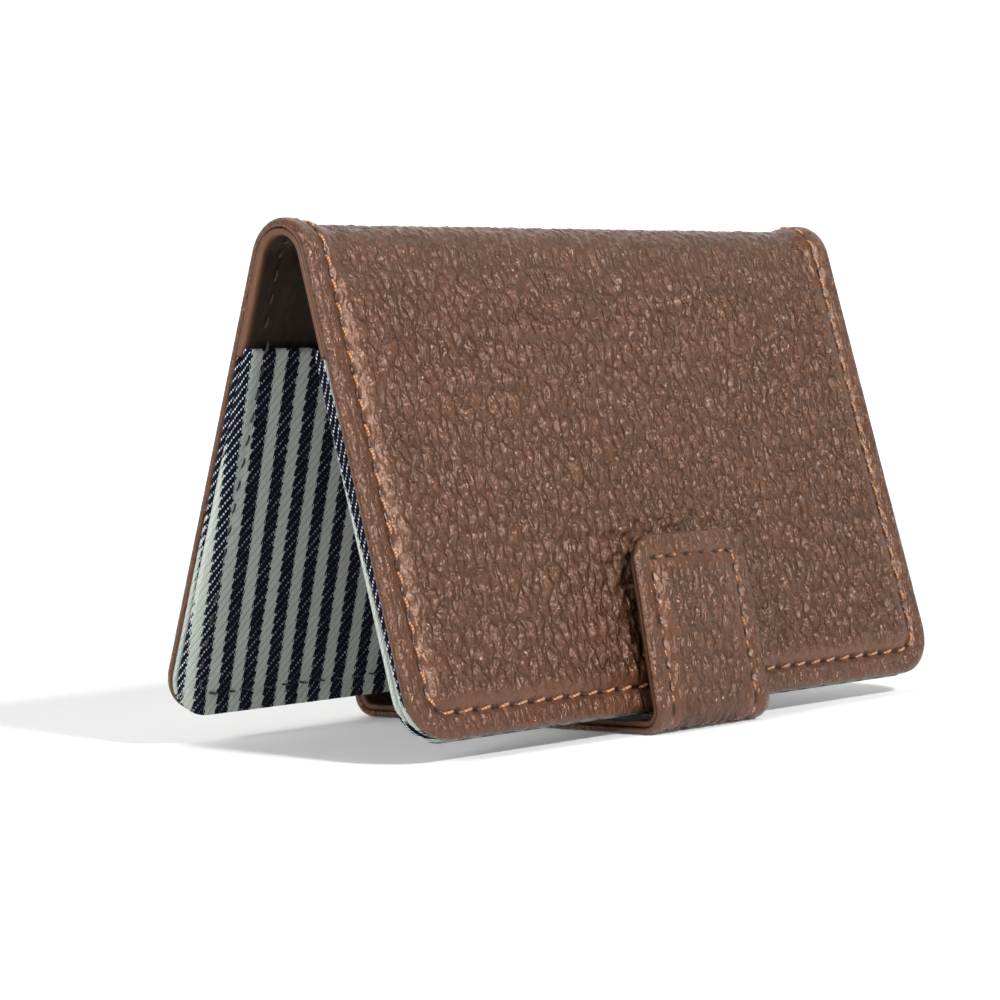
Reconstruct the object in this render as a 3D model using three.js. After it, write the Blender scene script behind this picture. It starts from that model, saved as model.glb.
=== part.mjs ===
// Stick-on card holder of brown grained leather, folded into a stand, in millimetres with +Z up.
// X runs along the fold, -Y is the front flap's side and +Y the side that is stuck on.
import * as THREE from 'three';

// Driving dimensions of the two flaps and the fold
const coverWidth = 95;
const frontHeight = 65;
const frontLean = 15.3;
const backLean = 21.8;
const foldRadius = 5.6;
const cornerRadius = 6;

// Leather cover: a turned hem all round, a stitched groove, and a padded body inside the groove
const hemThickness = 1.1;
const hemRounding = 0.6;
const hemRoundingRun = 0.9;
const stitchInset = 3.1;
const stitchDip = 0.3;
const stitchSpread = 0.8;
const grooveReach = 1;
const edgeStep = 0.3;
const bodyRun = 2.5;
const bodyPuff = 0.35;
const coverLeather = 0.75;
const foldSink = 0.8;
const foldEase = 8;

// Clearances between laid layers, and between the strap and what it passes
const layerGap = 0.1;
const seamGap = 0.2;
const frontGap = 0.4;
const backGap = 1.7;

// Lining strip inside the fold, stiffening boards and striped cloth pockets
const liningHem = 0.85;
const liningLeather = 0.7;
const boardThickness = 0.7;
const boardMargin = 0.2;
const boardCorner = 3;
const clothHem = 0.85;
const clothPly = 0.5;
const clothRounding = 0.28;
const clothRun = 3;
const pocketDip = 0.15;
const mouthDrop = 11.6;
const mouthLap = 1.2;

// Strap: two leather plies, from the back flap round the bottom to the front flap
const strapRootWidth = 21.6;
const strapTipWidth = 20.2;
const strapPly = 0.85;
const strapPlyGap = 0.1;
const strapBackingInset = 0.3;
const strapRoot = 14;
const strapRootFlat = 6;
const strapFlare = 11;
const strapFlareBend = 10;
const strapRootCorner = 2;
const strapTipCorner = 3.6;
const strapReach = 21.2;
const strapStitchInset = 2.9;
const strapHemRounding = 0.5;
const strapBackingRounding = 0.25;
const strapHemRun = 1.0;
const strapDip = 0.15;
const strapDipSpread = 0.6;
const strapGrooveReach = 0.6;
const strapPuff = 0.2;
const strapPuffRun = 2;
const strapLift = 1.5;
const strapOpening = 2.4;
const strapBackBend = 2.3;
const strapFrontBend = 2.2;
const strapOffset = -0.5;
const strapDrift = 1.2;

// Magnet in the strap, its keeper in the front board, and the sticky pad on the back
const magnetDiameter = 10;
const magnetThickness = 1.5;
const magnetSkirt = 1.9;
const magnetHeight = 12.5;
const magnetFrontBulge = 0.45;
const keeperDiameter = 9;
const keeperClearance = 0.3;
const padWidth = 80;
const padHeight = 36;
const padThickness = 1.5;
const padCorner = 4;
const padAboveStrap = 2.5;

// How finely the curves are divided
const cornerSteps = 6;
const foldSteps = 12;
const bendSteps = 7;
const flareSteps = 2;
const easeSteps = 4;
const magnetSteps = 12;
const discSteps = 32;
const leastRow = 0.05;
const coverColumns = 4;
const liningColumns = 2;
const pocketColumns = 2;
const strapColumns = 8;

const radians = THREE.MathUtils.degToRad;

// Whole panel thickness at its hem, from the leather's face to the pocket's face
const backingDepth = hemThickness + seamGap;
const pocketDepth = backingDepth + Math.max(clothHem, liningHem) + layerGap;
const panelThickness = pocketDepth + clothHem;
const strapThickness = 2 * strapPly + strapPlyGap;

// Soft step from 0 to 1
function ease(t) {
  const k = Math.min(1, Math.max(0, t));
  return k * k * (3 - 2 * k);
}

function mix(a, b, t) {
  return a + (b - a) * t;
}

// A route in the YZ plane of runs and bends, whose turns are clockwise where they are positive.
// Its outward side is X crossed with the way it heads.
function makeRoute(start, heading, parts) {
  const pieces = [];
  let place = start;
  let angle = heading;
  let from = 0;
  for (const part of parts) {
    const length = part.run ?? part.bend * part.turn;
    pieces.push({ ...part, place, angle, from, length });
    if (part.run !== undefined) {
      place = [place[0] + Math.cos(angle) * length, place[1] + Math.sin(angle) * length];
    } else {
      const centre = [place[0] + Math.sin(angle) * part.bend, place[1] - Math.cos(angle) * part.bend];
      angle -= part.turn;
      place = [centre[0] - Math.sin(angle) * part.bend, centre[1] + Math.cos(angle) * part.bend];
    }
    from += length;
  }
  const at = (u) => {
    const piece = pieces.findLast((each) => each.from <= u) ?? pieces[0];
    const along = u - piece.from;
    const turned = piece.bend ? piece.angle - along / piece.bend : piece.angle;
    const normal = [-Math.sin(turned), Math.cos(turned)];
    if (piece.bend === undefined) {
      const point = [
        piece.place[0] + Math.cos(turned) * along,
        piece.place[1] + Math.sin(turned) * along,
      ];
      return { point, normal, heading: turned };
    }
    const first = [-Math.sin(piece.angle), Math.cos(piece.angle)];
    const point = [
      piece.place[0] + (normal[0] - first[0]) * piece.bend,
      piece.place[1] + (normal[1] - first[1]) * piece.bend,
    ];
    return { point, normal, heading: turned };
  };
  return { length: from, at };
}

// An outline laid along a route: two long edges, and two ends that may have round corners
function makeOutline({ width, tipWidth = width, start, end, startRadius = 0, endRadius = 0 }) {
  const side = (u) => mix(width, tipWidth, (u - start) / (end - start)) / 2;
  const bite = (radius, inward) => {
    if (inward >= radius) {
      return 0;
    }
    return radius - Math.sqrt(radius ** 2 - (radius - inward) ** 2);
  };
  const halfWidth = (u) => side(u) - bite(startRadius, u - start) - bite(endRadius, end - u);
  const fromCorner = (radius, across, inward) => {
    if (across >= radius || inward >= radius) {
      return Math.min(across, inward);
    }
    return radius - Math.hypot(radius - across, radius - inward);
  };
  const edgeDistance = (x, u) => {
    const across = side(u) - Math.abs(x);
    const nearest = Math.min(
      fromCorner(startRadius, across, u - start),
      fromCorner(endRadius, across, end - u),
    );
    return Math.max(0, nearest);
  };
  return { start, end, startRadius, endRadius, halfWidth, edgeDistance };
}

// Stations along an outline: close together round its corners, then where the shape needs them
function stations(outline, rim, marks) {
  const corner = (radius) => {
    if (radius === 0) {
      return rim;
    }
    const steps = Array.from({ length: cornerSteps + 1 }, (_, k) => {
      return radius * (1 - Math.cos((k / cornerSteps) * (Math.PI / 2)));
    });
    return [...steps, ...rim.filter((inset) => inset > radius)];
  };
  const all = [
    ...corner(outline.startRadius).map((inset) => outline.start + inset),
    ...corner(outline.endRadius).map((inset) => outline.end - inset),
    ...marks.filter((u) => u > outline.start && u < outline.end),
  ];
  all.sort((a, b) => a - b);
  return all.filter((u, i) => i === 0 || u - all[i - 1] > leastRow);
}

// Even divisions of a stretch, both ends included
function divide(from, to, count) {
  return Array.from({ length: count + 1 }, (_, k) => mix(from, to, k / count));
}

// A closed sheet carried along a route. Its two faces are heights over the route, given as
// functions of the place across and along, and its edge and end walls join them.
function sheet({ route, outline, rows, rim, bodyColumns, upper, lower, drift = () => 0 }) {
  const points = [];
  const across = 2 * rim.length + bodyColumns - 1;
  for (const u of rows) {
    const { point, normal } = route.at(u);
    const half = outline.halfWidth(u);
    const insets = rim.map((inset) => inset - half);
    const inner = -insets.at(-1);
    const body = divide(-inner, inner, bodyColumns).slice(1, -1);
    const columns = [...insets, ...body, ...insets.map((x) => -x).reverse()];
    for (const face of [upper, lower]) {
      for (const x of columns) {
        const height = face(x, u);
        points.push(x + drift(u), point[0] + normal[0] * height, point[1] + normal[1] * height);
      }
    }
  }
  const top = (i, j) => i * 2 * across + j;
  const under = (i, j) => top(i, j) + across;
  const index = [];
  const quad = (a, b, c, d) => index.push(a, b, c, a, c, d);
  const last = rows.length - 1;
  for (let i = 0; i < last; i += 1) {
    for (let j = 0; j < across - 1; j += 1) {
      quad(top(i, j), top(i, j + 1), top(i + 1, j + 1), top(i + 1, j));
      quad(under(i, j), under(i + 1, j), under(i + 1, j + 1), under(i, j + 1));
    }
    const right = across - 1;
    quad(top(i, 0), top(i + 1, 0), under(i + 1, 0), under(i, 0));
    quad(top(i, right), under(i, right), under(i + 1, right), top(i + 1, right));
  }
  for (let j = 0; j < across - 1; j += 1) {
    quad(top(0, j), under(0, j), under(0, j + 1), top(0, j + 1));
    quad(top(last, j), top(last, j + 1), under(last, j + 1), under(last, j));
  }
  const geometry = new THREE.BufferGeometry();
  geometry.setAttribute('position', new THREE.Float32BufferAttribute(points, 3));
  geometry.setIndex(index);
  geometry.computeVertexNormals();
  return geometry;
}

// A rounded rectangle, with an optional round hole
function roundedShape(width, height, radius) {
  const shape = new THREE.Shape();
  const x = width / 2;
  const y = height / 2;
  shape.moveTo(-x + radius, -y);
  shape.lineTo(x - radius, -y);
  shape.absarc(x - radius, -y + radius, radius, -Math.PI / 2, 0);
  shape.lineTo(x, y - radius);
  shape.absarc(x - radius, y - radius, radius, 0, Math.PI / 2);
  shape.lineTo(-x + radius, y);
  shape.absarc(-x + radius, y - radius, radius, Math.PI / 2, Math.PI);
  shape.lineTo(-x, -y + radius);
  shape.absarc(-x + radius, -y + radius, radius, Math.PI, 1.5 * Math.PI);
  return shape;
}

function plate(shape, thickness) {
  return new THREE.ExtrudeGeometry(shape, {
    depth: thickness,
    bevelEnabled: false,
    curveSegments: cornerSteps,
  });
}

// A disc whose axis is Z and whose lower face is at zero
function disc(diameter, thickness) {
  const geometry = new THREE.CylinderGeometry(diameter / 2, diameter / 2, thickness, discSteps);
  geometry.rotateX(Math.PI / 2);
  geometry.translate(0, 0, thickness / 2);
  return geometry;
}

// Sets a mesh on a route: its X across, its Y along, its Z outward, its lower face at a height
function setOn(mesh, route, u, height, across = 0) {
  const { point, normal, heading } = route.at(u);
  mesh.position.set(across, point[0] + normal[0] * height, point[1] + normal[1] * height);
  mesh.rotation.x = heading;
  return mesh;
}

// Turned hem: the rounded edge and the stitched groove, as a height by distance from the edge
function hemHeight(distance, { rounding, run, inset, dip, spread }) {
  const away = Math.max(0, 1 - distance / run);
  const edge = rounding * (1 - Math.sqrt(1 - away ** 2));
  const groove = dip * Math.exp(-(((distance - inset) / spread) ** 2));
  return -edge - groove;
}

// Where the flaps stand: their inner bottom edges clear the strap that passes under them
const lean = { front: radians(frontLean), back: radians(backLean) };
const bottomHeight = (tilt, gap) => strapThickness + gap + panelThickness * Math.sin(tilt);
const frontLeg = frontHeight - foldRadius;
const foldTurn = Math.PI - lean.front - lean.back;
const frontBottom = [
  -foldRadius * Math.cos(lean.front) - frontLeg * Math.sin(lean.front),
  bottomHeight(lean.front, frontGap),
];
const foldCentre = frontBottom[1] + frontLeg * Math.cos(lean.front) - foldRadius * Math.sin(lean.front);
const backTop = foldCentre + foldRadius * Math.sin(lean.back);
const backLeg = (backTop - bottomHeight(lean.back, backGap)) / Math.cos(lean.back);
const coverRoute = makeRoute(frontBottom, Math.PI / 2 - lean.front, [
  { run: frontLeg },
  { bend: foldRadius, turn: foldTurn },
  { run: backLeg },
]);
const foldStart = frontLeg;
const foldEnd = frontLeg + foldRadius * foldTurn;
const foldMarks = divide(foldStart, foldEnd, foldSteps);
const easeMarks = [
  ...divide(foldStart - foldEase, foldStart, easeSteps),
  ...divide(foldEnd, foldEnd + foldEase, easeSteps),
];

// How far a place along the cover belongs to the fold: 1 on it, 0 on the flat flaps
function foldShare(u) {
  const away = Math.max(foldStart - u, u - foldEnd, 0);
  return 1 - ease(away / foldEase);
}

// Leather cover, one piece from the front flap over the fold to the back flap
const coverOutline = makeOutline({
  width: coverWidth,
  start: 0,
  end: coverRoute.length,
  startRadius: cornerRadius,
  endRadius: cornerRadius,
});
const coverHem = {
  rounding: hemRounding,
  run: hemRoundingRun,
  inset: stitchInset,
  dip: stitchDip,
  spread: stitchSpread,
};
const bodyInset = stitchInset + bodyRun;
const grooveRim = [stitchInset - grooveReach, stitchInset, stitchInset + grooveReach];
const coverRim = [0, edgeStep, hemRoundingRun, ...grooveRim, bodyInset];
const bodyShare = (distance) => ease((distance - stitchInset) / bodyRun);

function coverFace(x, u) {
  const distance = coverOutline.edgeDistance(x, u);
  const body = mix(bodyPuff, -foldSink, foldShare(u));
  return hemHeight(distance, coverHem) + body * bodyShare(distance);
}

function coverUnderside(x, u) {
  const share = bodyShare(coverOutline.edgeDistance(x, u));
  const body = mix(bodyPuff, -foldSink, foldShare(u));
  return mix(-hemThickness, body - coverLeather, share);
}

const coverGeometry = sheet({
  route: coverRoute,
  outline: coverOutline,
  rows: stations(coverOutline, coverRim, [...foldMarks, ...easeMarks, frontLeg / 2, foldEnd + backLeg / 2]),
  rim: coverRim,
  bodyColumns: coverColumns,
  upper: coverFace,
  lower: coverUnderside,
});

// Lining strip inside the fold, from pocket to pocket, with its ends under the pockets' mouths
const liningDrop = mouthDrop + mouthLap;
const liningOutline = makeOutline({
  width: coverWidth,
  start: foldStart - liningDrop,
  end: foldEnd + liningDrop,
});
const liningRim = [0, edgeStep, hemRoundingRun, stitchInset, bodyInset];

function liningBack(x, u) {
  const share = bodyShare(liningOutline.halfWidth(u) - Math.abs(x));
  const sunk = foldSink + coverLeather + layerGap - backingDepth;
  return -backingDepth - sunk * share * foldShare(u);
}

function liningFace(x, u) {
  const inset = liningOutline.halfWidth(u) - Math.abs(x);
  const depth = mix(liningHem, liningLeather, bodyShare(inset));
  const edge = hemHeight(inset, { ...coverHem, dip: 0 });
  return liningBack(x, u) - depth - edge;
}

const liningGeometry = sheet({
  route: coverRoute,
  outline: liningOutline,
  rows: stations(liningOutline, [0, hemRoundingRun], [...foldMarks, ...easeMarks]),
  rim: liningRim,
  bodyColumns: liningColumns,
  upper: liningBack,
  lower: liningFace,
});

// Cloth pockets: on each flap a back piece and a face piece, closed by the flap's own stitching,
// from the flap's bottom edge to a mouth that is a drop below the fold
function pocketOutline(flap, mouth) {
  const width = coverWidth;
  if (flap === 'front') {
    return makeOutline({ width, start: 0, end: frontLeg - mouth, startRadius: cornerRadius });
  }
  const end = coverRoute.length;
  return makeOutline({ width, start: foldEnd + mouth, end, endRadius: cornerRadius });
}

const pocketHem = {
  rounding: clothRounding,
  run: clothHem / 2,
  inset: stitchInset,
  dip: pocketDip,
  spread: stitchSpread,
};
const pocketRim = [0, clothHem / 2, ...grooveRim];

function pocketPiece(flap, mouth, depth, dipped) {
  const outline = pocketOutline(flap, mouth);
  const hem = { ...pocketHem, dip: dipped ? pocketDip : 0 };
  const ply = (x, u) => {
    return mix(clothHem, clothPly, ease((outline.edgeDistance(x, u) - stitchInset) / clothRun));
  };
  return sheet({
    route: coverRoute,
    outline,
    rows: stations(outline, pocketRim, []),
    rim: pocketRim,
    bodyColumns: pocketColumns,
    upper: () => -depth,
    lower: (x, u) => -depth - ply(x, u) - hemHeight(outline.edgeDistance(x, u), hem),
  });
}

// Stiffening boards between the leather and the pockets, the front one with the keeper's hole
const boardInset = bodyInset + boardMargin;
const boardDepth = coverLeather - bodyPuff + layerGap + boardThickness;

function boardPlate(leg, hole) {
  const height = leg - foldEase - boardMargin - boardInset;
  const shape = roundedShape(coverWidth - 2 * boardInset, height, boardCorner);
  if (hole) {
    const round = new THREE.Path();
    round.absarc(hole.x, hole.y, hole.radius, 0, 2 * Math.PI, true);
    shape.holes.push(round);
  }
  return { geometry: plate(shape, boardThickness), middle: boardInset + height / 2 };
}

// Strap route: down the back flap's face, flaring off it, round its bottom edge, forward, and up
// the front flap. Its runs are what is left between the bends that join them.
const strapHalf = strapThickness / 2;
const rootHeight = bodyPuff + layerGap + strapHalf;
const rootPlace = coverRoute.at(coverRoute.length - strapRoot);
const strapStart = rootPlace.point.map((value, axis) => value + rootPlace.normal[axis] * rootHeight);
const rootParts = [
  { run: strapRootFlat },
  { bend: -strapFlareBend, turn: -radians(strapFlare) },
];
const rootRoute = makeRoute(strapStart, lean.back - Math.PI / 2, rootParts);
const flared = rootRoute.at(rootRoute.length);
const flaredLean = lean.back + radians(strapFlare);
const tipLean = lean.front - radians(strapOpening);
const frontStart = coverRoute.at(0);
const strapFoot = frontStart.point.map((value, axis) => {
  return value + frontStart.normal[axis] * (strapLift + strapHalf);
});
const backCorner = flared.point[0] + (flared.point[1] - strapHalf) * Math.tan(flaredLean);
const frontCorner = strapFoot[0] - (strapFoot[1] - strapHalf) * Math.tan(tipLean);
const backTurn = Math.PI / 2 + flaredLean;
const frontTurn = Math.PI / 2 + tipLean;
const backTangent = strapBackBend * Math.tan(backTurn / 2);
const frontTangent = strapFrontBend * Math.tan(frontTurn / 2);
const flaredRun = (flared.point[1] - strapHalf) / Math.cos(flaredLean) - backTangent;
const lowerRun = backCorner - frontCorner - backTangent - frontTangent;
const footRun = (strapFoot[1] - strapHalf) / Math.cos(tipLean);
const tipRun = footRun + strapReach - frontTangent;
const strapRoute = makeRoute(strapStart, lean.back - Math.PI / 2, [
  ...rootParts,
  { run: flaredRun },
  { bend: strapBackBend, turn: backTurn },
  { run: lowerRun },
  { bend: strapFrontBend, turn: frontTurn },
  { run: tipRun },
]);
const backBendStart = rootRoute.length + flaredRun;
const backBendEnd = backBendStart + strapBackBend * backTurn;
const frontBendStart = backBendEnd + lowerRun;
const frontBendEnd = strapRoute.length - tipRun;
const magnetPlace = strapRoute.length - (strapReach - magnetHeight);
const magnetMarks = divide(magnetPlace - magnetDiameter, strapRoute.length, magnetSteps);
const strapMarks = [
  ...divide(strapRootFlat, rootRoute.length, flareSteps),
  ...divide(backBendStart, backBendEnd, bendSteps),
  ...divide(frontBendStart, frontBendEnd, bendSteps),
  ...magnetMarks,
];

// The strap lies a little askew: sewn off the middle, it wanders sideways from the front bend up
function strapShift(u) {
  const risen = (u - frontBendStart) / (strapRoute.length - frontBendStart);
  return strapOffset + strapDrift * ease(risen);
}

// Share of the magnet's bulge at a place on the strap
function magnetShare(x, u) {
  const away = Math.hypot(x, u - magnetPlace) - magnetDiameter / 2 - strapPlyGap;
  return 1 - ease((away - magnetSkirt / 2) / magnetSkirt);
}

const magnetBackBulge = magnetThickness + layerGap - magnetFrontBulge;
const strapHem = {
  rounding: strapHemRounding,
  run: strapHemRun,
  inset: strapStitchInset,
  dip: strapDip,
  spread: strapDipSpread,
};
const strapGroove = [
  strapStitchInset - strapGrooveReach,
  strapStitchInset,
  strapStitchInset + strapGrooveReach,
];
const strapRim = [0, edgeStep, strapHemRun, ...strapGroove];

function strapOutline(inset) {
  return makeOutline({
    width: strapRootWidth - 2 * inset,
    tipWidth: strapTipWidth - 2 * inset,
    start: inset,
    end: strapRoute.length - inset,
    startRadius: strapRootCorner,
    endRadius: strapTipCorner,
  });
}

function strapPiece(inset, upper, lower) {
  const outline = strapOutline(inset);
  return sheet({
    route: strapRoute,
    outline,
    rows: stations(outline, strapRim, strapMarks),
    rim: strapRim,
    bodyColumns: strapColumns,
    upper: (x, u) => upper(x, u, outline.edgeDistance(x, u)),
    lower: (x, u) => lower(x, u, outline.edgeDistance(x, u)),
    drift: strapShift,
  });
}

const strapFaceGeometry = strapPiece(
  0,
  (x, u, distance) => {
    const inner = ease((distance - strapStitchInset) / strapPuffRun);
    const padded = inner * ease((u - frontBendEnd) / strapHemRun);
    const bulge = magnetFrontBulge * magnetShare(x, u);
    return strapHalf + hemHeight(distance, strapHem) + Math.max(strapPuff * padded, bulge);
  },
  (x, u) => strapPlyGap / 2 + magnetFrontBulge * magnetShare(x, u),
);
const strapBackingGeometry = strapPiece(
  strapBackingInset,
  (x, u) => -strapPlyGap / 2 - magnetBackBulge * magnetShare(x, u),
  (x, u, distance) => {
    const edge = hemHeight(distance, { ...strapHem, rounding: strapBackingRounding });
    return -strapHalf - edge - magnetBackBulge * magnetShare(x, u);
  },
);

// One finish for each material
const finishes = {
  leather: { color: '#7d4e35', roughness: 0.5 },
  lining: { color: '#6a4230', roughness: 0.55 },
  cloth: { color: '#a9b3ab', roughness: 0.9 },
  board: { color: '#8d877c', roughness: 0.85 },
  metal: { color: '#9a9a9d', roughness: 0.35, metalness: 1 },
  foam: { color: '#d8d8d4', roughness: 0.7 },
};

function piece(name, geometry, finish) {
  const mesh = new THREE.Mesh(geometry, new THREE.MeshStandardMaterial(finishes[finish]));
  mesh.name = name;
  return mesh;
}

const holder = new THREE.Group();
holder.name = 'card_holder';

holder.add(piece('outer_cover', coverGeometry, 'leather'));
holder.add(piece('fold_lining', liningGeometry, 'lining'));

for (const flap of ['front', 'back']) {
  const backing = pocketPiece(flap, liningDrop + seamGap, backingDepth, false);
  const facing = pocketPiece(flap, mouthDrop, pocketDepth, true);
  holder.add(piece(`${flap}_pocket_back`, backing, 'cloth'));
  holder.add(piece(`${flap}_pocket_face`, facing, 'cloth'));
}

const frontMagnetHeight = magnetHeight * Math.cos(radians(strapOpening));
const keeperHole = { x: 0, radius: keeperDiameter / 2 + keeperClearance };
const frontPlain = boardPlate(frontLeg);
const frontBoard = boardPlate(frontLeg, { ...keeperHole, y: frontMagnetHeight - frontPlain.middle });
const backBoard = boardPlate(backLeg);
const frontBoardMesh = piece('front_board', frontBoard.geometry, 'board');
const backBoardMesh = piece('back_board', backBoard.geometry, 'board');
holder.add(setOn(frontBoardMesh, coverRoute, frontBoard.middle, -boardDepth));
holder.add(setOn(backBoardMesh, coverRoute, coverRoute.length - backBoard.middle, -boardDepth));

const keeperMesh = piece('keeper_plate', disc(keeperDiameter, boardThickness), 'metal');
holder.add(setOn(keeperMesh, coverRoute, frontMagnetHeight, -boardDepth));

holder.add(piece('strap_face', strapFaceGeometry, 'leather'));
holder.add(piece('strap_backing', strapBackingGeometry, 'lining'));
const magnetMesh = piece('strap_magnet', disc(magnetDiameter, magnetThickness), 'metal');
const magnetSeat = magnetFrontBulge - magnetThickness;
holder.add(setOn(magnetMesh, strapRoute, magnetPlace, magnetSeat, strapShift(magnetPlace)));

const padMiddle = strapRoot + padAboveStrap + padHeight / 2;
const padShape = roundedShape(padWidth, padHeight, padCorner);
const padMesh = piece('adhesive_pad', plate(padShape, padThickness), 'foam');
holder.add(setOn(padMesh, coverRoute, coverRoute.length - padMiddle, bodyPuff + layerGap));

// The origin is under the middle of the whole holder, on the surface that the strap rests on
const extent = new THREE.Box3().setFromObject(holder);
holder.position.y = -(extent.min.y + extent.max.y) / 2;

export default holder;
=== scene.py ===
"""Stick-on card holder of brown grained leather, standing as a tent on its strap.

Sizes are in millimetres until a mesh is made, and Z is up. X runs along the fold, -Y is the
front flap's side. A place on the cover is (x, u): x across, u along its route from the front
flap's bottom edge, over the fold, to the back flap's bottom edge.
"""

import math

import bpy
import numpy as np
from mathutils import Matrix, Vector


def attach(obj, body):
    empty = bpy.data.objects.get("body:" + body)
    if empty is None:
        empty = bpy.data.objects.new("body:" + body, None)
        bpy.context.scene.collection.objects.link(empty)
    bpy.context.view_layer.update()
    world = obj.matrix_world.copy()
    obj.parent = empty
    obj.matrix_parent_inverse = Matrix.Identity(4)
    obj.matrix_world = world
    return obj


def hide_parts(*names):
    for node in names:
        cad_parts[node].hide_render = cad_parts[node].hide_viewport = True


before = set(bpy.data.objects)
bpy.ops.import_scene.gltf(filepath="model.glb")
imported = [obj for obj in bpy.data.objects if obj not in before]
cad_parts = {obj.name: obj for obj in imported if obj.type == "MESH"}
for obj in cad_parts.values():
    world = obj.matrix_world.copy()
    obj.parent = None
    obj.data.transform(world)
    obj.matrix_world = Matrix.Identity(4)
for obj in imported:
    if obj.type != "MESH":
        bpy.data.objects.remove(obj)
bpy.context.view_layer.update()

# Driving sizes, the same as the solids'
COVER_WIDTH = 95.0
FRONT_HEIGHT = 65.0
FRONT_LEAN = math.radians(15.3)
BACK_LEAN = math.radians(21.8)
FOLD_RADIUS = 5.6
CORNER_RADIUS = 6.0
HEM = 1.1
STITCH_INSET = 3.1
BODY_RUN = 2.5
BODY_PUFF = 0.35
COVER_LEATHER = 0.75
FOLD_SINK = 0.8
FOLD_EASE = 8.0
LAYER_GAP = 0.1
SEAM_GAP = 0.2
FRONT_GAP = 0.4
BACK_GAP = 1.7
LINING_HEM = 0.85
LINING_LEATHER = 0.7
CLOTH_HEM = 0.85
MOUTH_DROP = 11.6
MOUTH_LAP = 1.2
STRAP_ROOT_WIDTH = 21.6
STRAP_TIP_WIDTH = 20.2
STRAP_PLY = 0.85
STRAP_PLY_GAP = 0.1
STRAP_BACKING_INSET = 0.3
STRAP_ROOT = 14.0
STRAP_ROOT_FLAT = 6.0
STRAP_FLARE = math.radians(11.0)
STRAP_FLARE_BEND = 10.0
STRAP_ROOT_CORNER = 2.0
STRAP_TIP_CORNER = 3.6
STRAP_REACH = 21.2
STRAP_STITCH_INSET = 2.9
STRAP_PUFF = 0.2
STRAP_LIFT = 1.5
STRAP_OPENING = math.radians(2.4)
STRAP_BACK_BEND = 2.3
STRAP_FRONT_BEND = 2.2
STRAP_OFFSET = -0.5
STRAP_DRIFT = 1.2
MAGNET_DIAMETER = 10.0
MAGNET_THICKNESS = 1.5
MAGNET_HEIGHT = 12.5
MAGNET_SKIRT = 1.9
MAGNET_FRONT_BULGE = 0.45
STRAP_BUMP_HEIGHT = 0.45
STRAP_BUMP_SPREAD = 0.75
PAD_WIDTH = 80.0
PAD_HEIGHT = 36.0
PAD_THICKNESS = 1.5
PAD_CORNER = 4.0
PAD_ABOVE_STRAP = 2.5

# Sewing
STITCH_PITCH = 3.0
STRAP_STITCH_PITCH = 2.8
STITCH_SHARE = 0.56
THREAD_RADIUS = 0.16
INNER_THREAD_RADIUS = 0.13

# Striped cloth
STRIPE_PERIOD = 3.78
LIGHT_SHARE = 0.47

BACKING_DEPTH = HEM + SEAM_GAP
POCKET_DEPTH = BACKING_DEPTH + CLOTH_HEM + LAYER_GAP
PANEL = POCKET_DEPTH + CLOTH_HEM
STRAP_THICKNESS = 2 * STRAP_PLY + STRAP_PLY_GAP
UV_SCALE = 0.01


def ease(t):
    """Soft step from 0 to 1."""
    k = np.clip(t, 0.0, 1.0)
    return k * k * (3 - 2 * k)


def mix(a, b, t):
    return a + (b - a) * t


# Routes and outlines
class Route:
    """A line in the YZ plane made of runs and bends that turn clockwise, met without a kink.

    Its outward side is X crossed with the way it heads. A bend's curvature is one over its
    radius, and a place on it is the bend's start plus the change of its outward direction
    over the curvature."""

    def __init__(self, start, heading, parts):
        place = np.array(start, float)
        angle = heading
        begin = 0.0
        rows = []
        for kind, size, turn in parts:
            curve = 0.0 if kind == "run" else 1.0 / size
            length = size if kind == "run" else size * turn
            rows.append((begin, place[0], place[1], angle, curve))
            place, angle = self._step(place, angle, curve, length)
            begin += length
        self.length = begin
        self.rows = np.array(rows)

    @staticmethod
    def _outward(angle):
        return np.stack([-np.sin(angle), np.cos(angle)], -1)

    @classmethod
    def _step(cls, place, angle, curve, along):
        after = angle - along * curve
        if curve == 0:
            return place + along * np.array([math.cos(angle), math.sin(angle)]), after
        return place + (cls._outward(after) - cls._outward(angle)) / curve, after

    def at(self, u):
        """Points and outward directions at the distances u along the route."""
        u = np.asarray(u, float)
        which = np.clip(np.searchsorted(self.rows[:, 0], u, "right") - 1, 0, len(self.rows) - 1)
        begin, y, z, angle, curve = np.moveaxis(self.rows[which], -1, 0)
        along = u - begin
        after = angle - along * curve
        straight = np.stack([np.cos(angle), np.sin(angle)], -1) * along[..., None]
        swept = (self._outward(after) - self._outward(angle)) / np.where(curve == 0, 1, curve)[..., None]
        place = np.stack([y, z], -1) + np.where((curve == 0)[..., None], straight, swept)
        return place, self._outward(after)


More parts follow.
